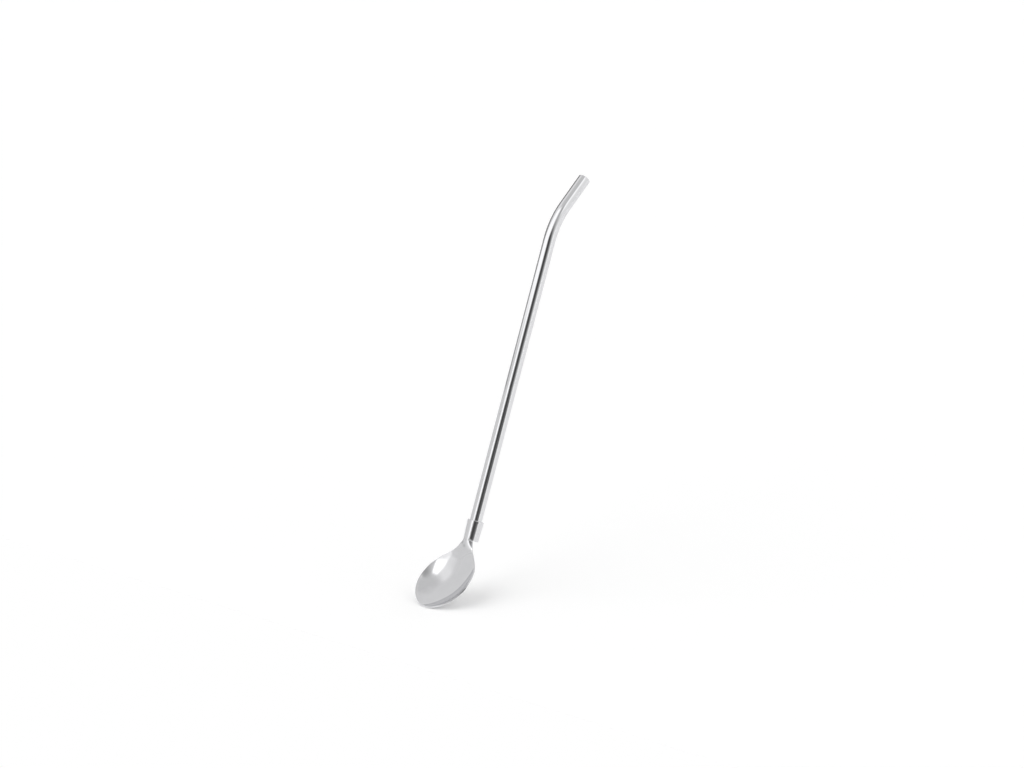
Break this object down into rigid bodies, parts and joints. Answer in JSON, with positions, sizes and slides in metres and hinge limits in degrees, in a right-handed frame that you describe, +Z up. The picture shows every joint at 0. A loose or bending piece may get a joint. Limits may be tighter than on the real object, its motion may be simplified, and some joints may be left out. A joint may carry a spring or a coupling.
{
  "type": "stirring straw",
  "caption": "Bent metal drinking straw whose lower end is brazed into a collar that carries a spoon bowl for stirring and scooping.",
  "frame": {"origin": "under the middle of the part, at the height of the bowl's lowest point, where it touches the bottom of a glass", "axes": "+Z up with the straw leaning as it stands in a glass; the bowl faces -Y and the mouthpiece leans back to +Y; X is across the bowl, and X = 0 is the mirror plane"},
  "size_m": [0.0294, 0.114, 0.1888],
  "materials": {
    "tube_steel": "mirror-polished stainless steel, drawn tube",
    "collar_steel": "mirror-polished stainless steel, turned sleeve",
    "spoon_steel": "mirror-polished stainless steel, pressed sheet"
  },
  "bodies": {
    "root": {"straw_tube": "tube_steel", "collar": "collar_steel", "spoon": "spoon_steel"}
  },
  "joints": []
}
